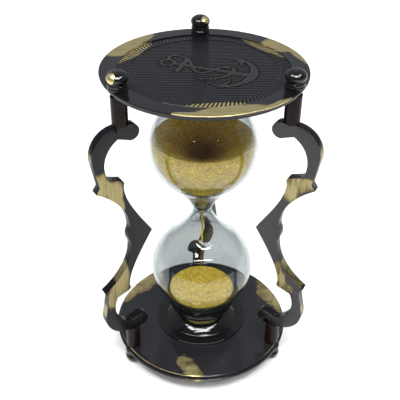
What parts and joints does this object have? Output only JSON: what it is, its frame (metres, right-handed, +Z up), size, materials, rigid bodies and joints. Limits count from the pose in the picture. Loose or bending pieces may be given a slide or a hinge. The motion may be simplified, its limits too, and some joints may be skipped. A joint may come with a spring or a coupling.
{
  "type": "hourglass",
  "caption": "Sand timer: two-bulb glass vial in turned cups between round engraved blackened-brass plates, held apart by scroll brackets on posts with ball nuts.",
  "frame": {"origin": "centre of the bounding box's footprint, on the surface that the timer stands on; the vial's axis stands 4.3 mm in front of it, towards -Y", "axes": "+Z up along the vial's axis, the longest extent; +Y towards the rear post; the other two posts are at the front left and front right"},
  "size_m": [0.099, 0.0986, 0.1628],
  "materials": {
    "plate_brass": "blackened and glossy, worn through to tan-gold brass in soft patches",
    "engraved_brass": "blackened, with fine ribbing, a notched border and an engraved fouled anchor",
    "bracket_brass": "blackened satin with brushed tan-gold patches and edges",
    "post_brass": "brown-black, drawn and slightly streaky",
    "polished_brass": "blackened and highly polished",
    "bare_brass": "plain machined brass, hidden inside",
    "glass": "clear blown glass",
    "sand": "fine golden sand",
    "cork": "fine-grained cork"
  },
  "bodies": {
    "root": {"base_plate": "plate_brass", "top_plate": "plate_brass", "base_medallion": "engraved_brass", "top_medallion": "engraved_brass", "foot_left": "polished_brass", "foot_right": "polished_brass", "foot_rear": "polished_brass", "finial_left": "polished_brass", "finial_right": "polished_brass", "finial_rear": "polished_brass", "lower_post_left": "post_brass", "lower_post_right": "post_brass", "lower_post_rear": "post_brass", "upper_post_left": "post_brass", "upper_post_right": "post_brass", "upper_post_rear": "post_brass", "lower_stud_left": "bare_brass", "lower_stud_right": "bare_brass", "lower_stud_rear": "bare_brass", "upper_stud_left": "bare_brass", "upper_stud_right": "bare_brass", "upper_stud_rear": "bare_brass", "bracket_left": "bracket_brass", "bracket_right": "bracket_brass", "bracket_rear": "bracket_brass", "lower_cup": "polished_brass", "upper_cup": "polished_brass", "lower_cup_screw": "bare_brass", "upper_cup_screw": "bare_brass", "lower_pad": "cork", "upper_pad": "cork", "glass_vial": "glass", "fill_plug": "cork", "upper_sand": "sand", "sand_stream": "sand", "lower_sand": "sand"}
  },
  "joints": []
}
